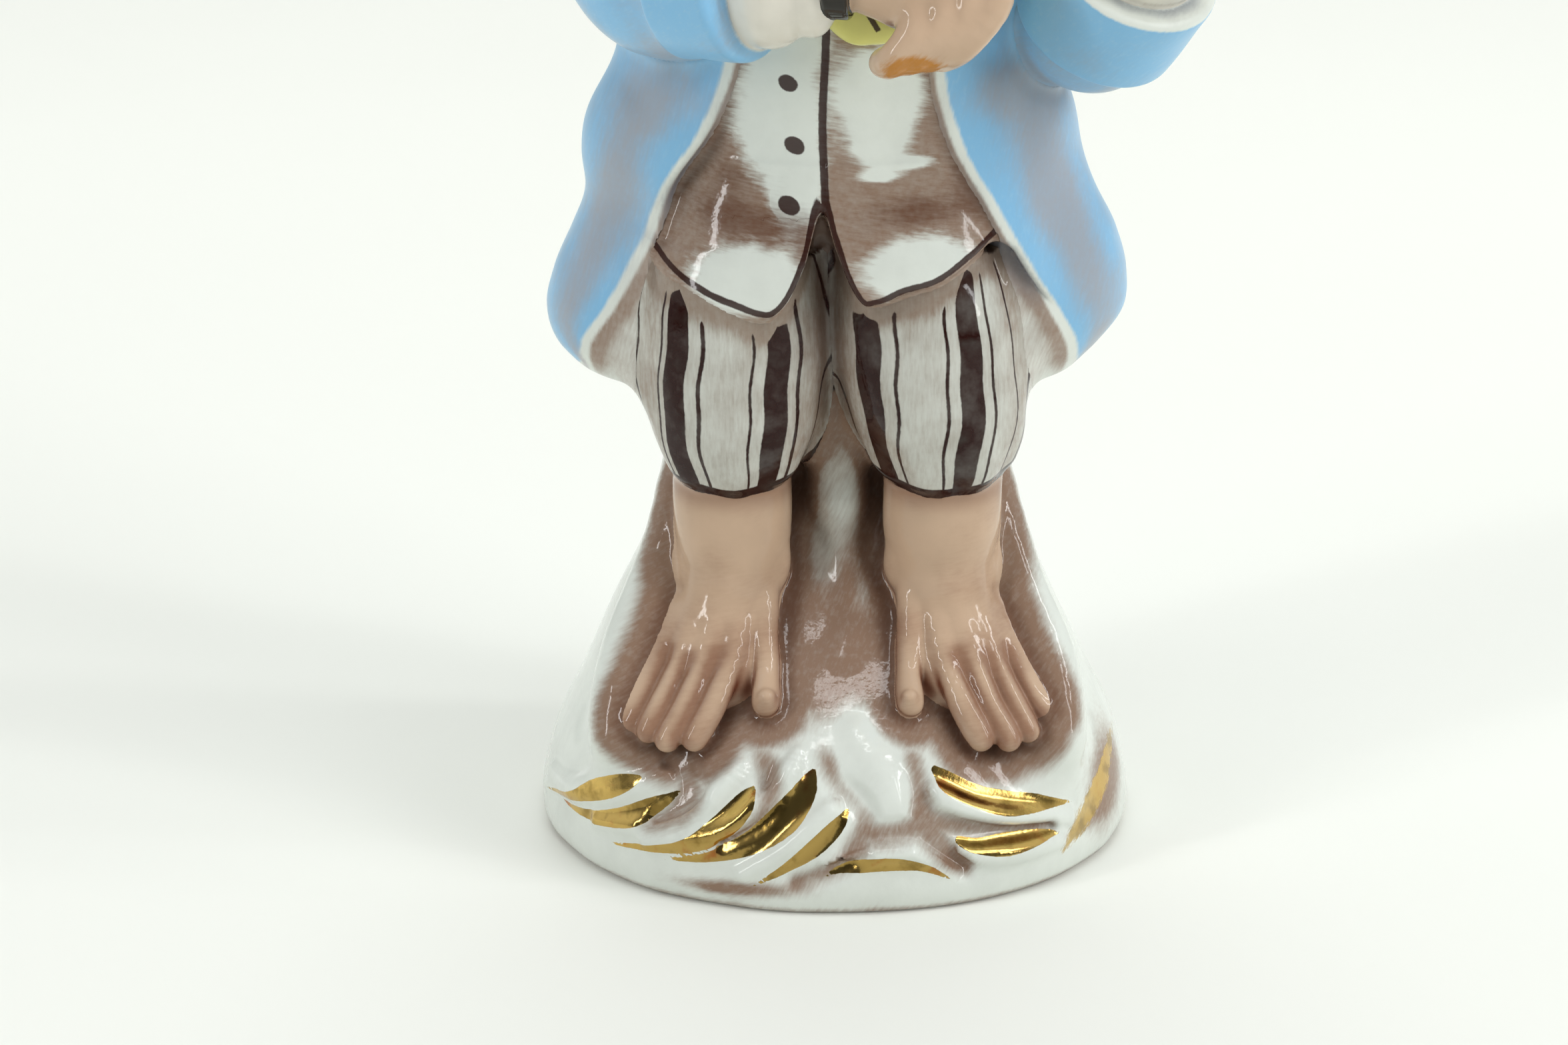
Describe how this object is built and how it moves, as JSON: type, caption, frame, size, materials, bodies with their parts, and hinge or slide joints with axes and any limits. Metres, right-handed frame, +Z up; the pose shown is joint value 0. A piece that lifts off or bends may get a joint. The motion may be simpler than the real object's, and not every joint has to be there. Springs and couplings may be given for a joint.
{
  "type": "porcelain figurine",
  "caption": "Standing barefoot musician in a blue coat and striped breeches on a domed rocaille base, glazed and hand painted.",
  "frame": {"origin": "centre of the underside of the base, on the surface it stands on", "axes": "+Z up through the figure, -Y the way the figure faces, +X the figure's own left"},
  "size_m": [0.0697, 0.0587, 0.138],
  "materials": {
    "white_glaze": "white glaze over brown brushed washes",
    "flesh_glaze": "gloss, flesh tint with red-brown shading",
    "blue_glaze": "satin gloss, light blue with grey-mauve shading",
    "striped_glaze": "gloss, white with brown stripes",
    "yellow_glaze": "gloss, yellow with olive shading",
    "brown_glaze": "gloss brown",
    "black_glaze": "gloss black",
    "gilding": "burnished gold over the glaze"
  },
  "bodies": {
    "root": {"base_mound": "white_glaze", "support_trunk": "white_glaze", "right_foot": "flesh_glaze", "left_foot": "flesh_glaze", "right_calf": "flesh_glaze", "left_calf": "flesh_glaze", "right_breeches_leg": "striped_glaze", "left_breeches_leg": "striped_glaze", "waistcoat": "white_glaze", "coat_body": "blue_glaze", "coat_collar": "blue_glaze", "right_sleeve": "blue_glaze", "left_sleeve": "blue_glaze", "right_cuff": "blue_glaze", "left_cuff": "blue_glaze", "right_cuff_frill": "white_glaze", "left_cuff_frill": "white_glaze", "right_hand": "flesh_glaze", "left_hand": "flesh_glaze", "wrist_ribbon": "black_glaze", "lute_body": "yellow_glaze", "lute_neck": "brown_glaze", "cravat": "white_glaze", "jabot": "white_glaze", "head": "flesh_glaze", "wig": "white_glaze", "wig_queue": "white_glaze", "queue_ribbon": "black_glaze"}
  },
  "joints": []
}
